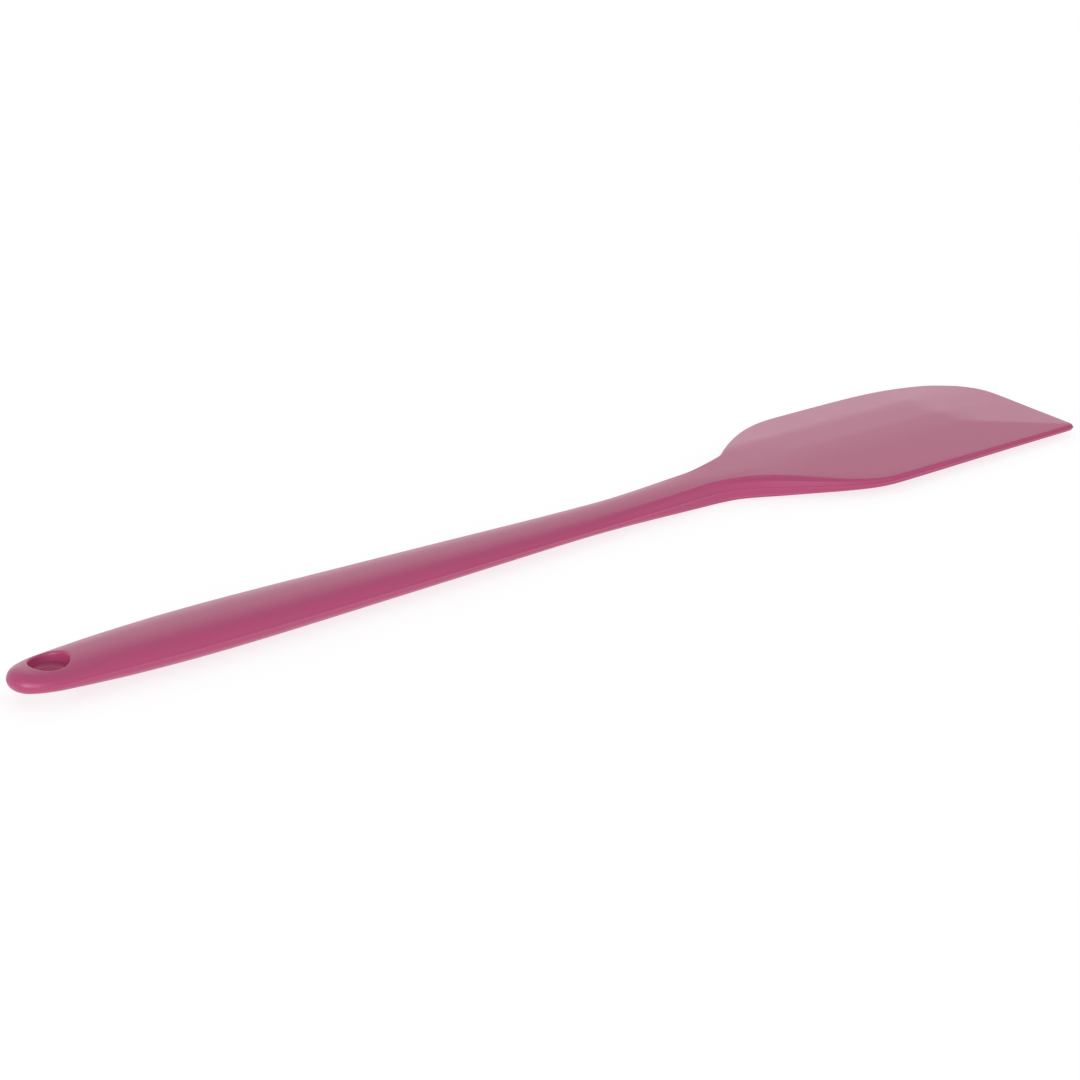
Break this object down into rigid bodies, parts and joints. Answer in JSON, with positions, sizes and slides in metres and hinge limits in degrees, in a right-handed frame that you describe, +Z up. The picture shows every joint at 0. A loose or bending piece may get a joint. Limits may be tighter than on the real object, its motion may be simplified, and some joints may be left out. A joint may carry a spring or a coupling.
{
  "type": "silicone spatula",
  "caption": "Soft silicone spatula in one smooth piece, with an asymmetric scraping blade, a slim oval handle and a hanging hole.",
  "frame": {"origin": "middle of the bounding box at table height", "axes": "+X from the hanging hole along the handle to the blade's tip, +Z up from the table, +Y towards the blade's curved side"},
  "size_m": [0.28, 0.0484, 0.0088],
  "materials": {
    "silicone": "satin raspberry pink silicone",
    "core_nylon": "matte natural nylon"
  },
  "bodies": {
    "root": {"silicone_skin": "silicone", "stiffening_core": "core_nylon"}
  },
  "joints": []
}
